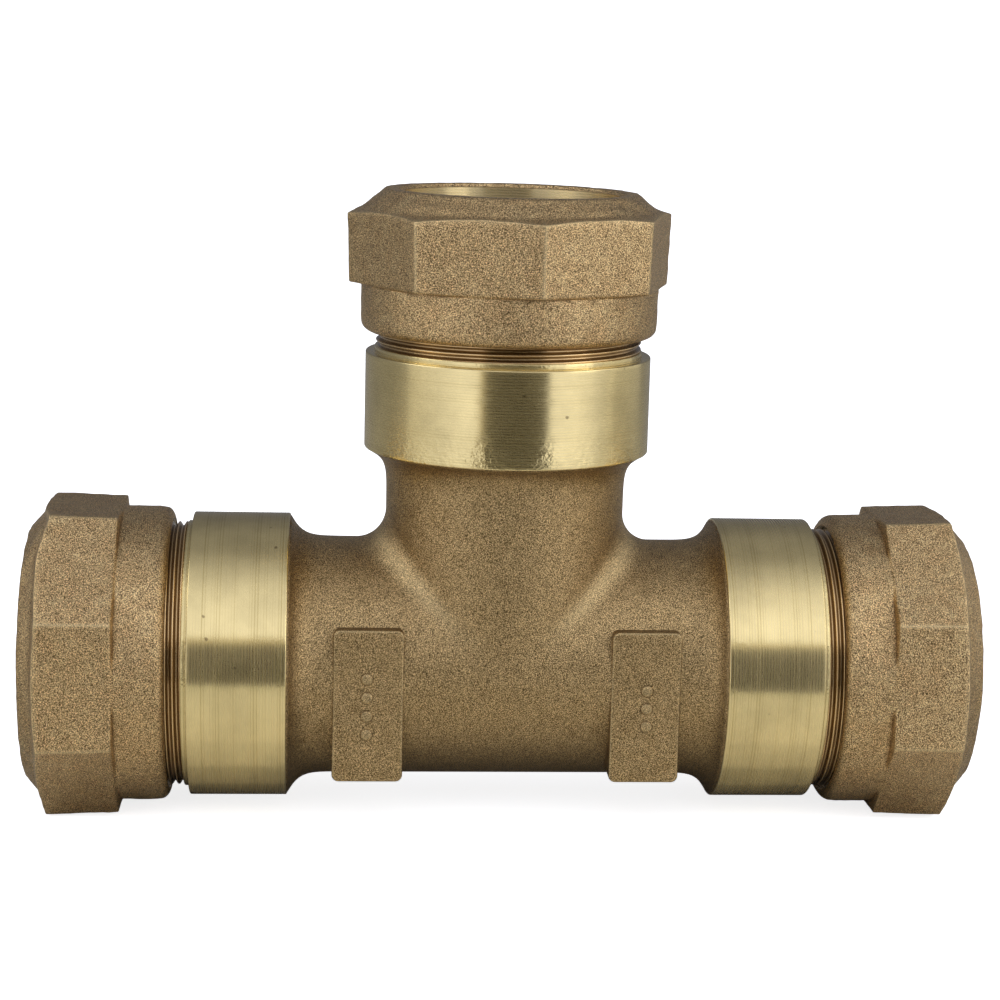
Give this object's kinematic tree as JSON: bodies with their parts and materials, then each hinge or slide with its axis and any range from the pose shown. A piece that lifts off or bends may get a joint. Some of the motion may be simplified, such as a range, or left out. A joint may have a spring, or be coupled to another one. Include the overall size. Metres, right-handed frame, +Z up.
{
  "type": "compression tee fitting",
  "caption": "Cast bronze pipe tee that joins three lengths of water tube, each gripped and sealed by an octagonal nut that screws down over a gripper band and gasket.",
  "frame": {"origin": "middle of the bottom of the bounding box, under the point where the three outlet axes meet", "axes": "+X along the run towards the right-hand nut, +Z up the branch, -Y towards the front, which carries the two raised plates"},
  "size_m": [0.2354, 0.081, 0.156],
  "materials": {
    "body_bronze": "sand-cast bronze with turned bright collars and threads",
    "nut_bronze": "sand-cast bronze, golden tan, turned inside",
    "stainless": "bright stainless strip",
    "spacer_brass": "turned brass",
    "gasket_rubber": "moulded black rubber",
    "spring_bronze": "bright spring wire"
  },
  "bodies": {
    "tee": {"tee_body": "body_bronze"},
    "left_pack": {"left_gripper_band": "stainless", "left_spacer_ring": "spacer_brass", "left_gasket": "gasket_rubber", "left_conductivity_spring": "spring_bronze"},
    "left_turning_nut": {"left_nut": "nut_bronze"},
    "right_pack": {"right_gripper_band": "stainless", "right_spacer_ring": "spacer_brass", "right_gasket": "gasket_rubber", "right_conductivity_spring": "spring_bronze"},
    "right_turning_nut": {"right_nut": "nut_bronze"},
    "branch_pack": {"branch_gripper_band": "stainless", "branch_spacer_ring": "spacer_brass", "branch_gasket": "gasket_rubber", "branch_conductivity_spring": "spring_bronze"},
    "branch_turning_nut": {"branch_nut": "nut_bronze"}
  },
  "joints": [
    {"name": "left_pack_slide", "type": "slide", "parent": "tee", "child": "left_pack", "axis": [-1, 0, 0], "range_m": [-0.005, 0.0064]},
    {"name": "left_nut_turn", "type": "hinge", "parent": "left_pack", "child": "left_turning_nut", "pos_m": [-0.1, 0, 0.03831], "axis": [-1, 0, 0], "range_deg": [-990, 1260]},
    {"name": "right_pack_slide", "type": "slide", "parent": "tee", "child": "right_pack", "axis": [1, 0, 0], "range_m": [-0.005, 0.0064]},
    {"name": "right_nut_turn", "type": "hinge", "parent": "right_pack", "child": "right_turning_nut", "pos_m": [0.1, 0, 0.03831], "axis": [1, 0, 0], "range_deg": [-990, 1260]},
    {"name": "branch_pack_slide", "type": "slide", "parent": "tee", "child": "branch_pack", "axis": [0, 0, 1], "range_m": [-0.005, 0.0064]},
    {"name": "branch_nut_turn", "type": "hinge", "parent": "branch_pack", "child": "branch_turning_nut", "pos_m": [0, 0, 0.13831], "axis": [0, 0, 1], "range_deg": [-990, 1260]}
  ],
  "couplings": [
    {"joint": "left_pack_slide", "follows": "left_nut_turn", "m_per_rad": 0.00028875},
    {"joint": "right_pack_slide", "follows": "right_nut_turn", "m_per_rad": 0.00028875},
    {"joint": "branch_pack_slide", "follows": "branch_nut_turn", "m_per_rad": 0.00028875}
  ]
}
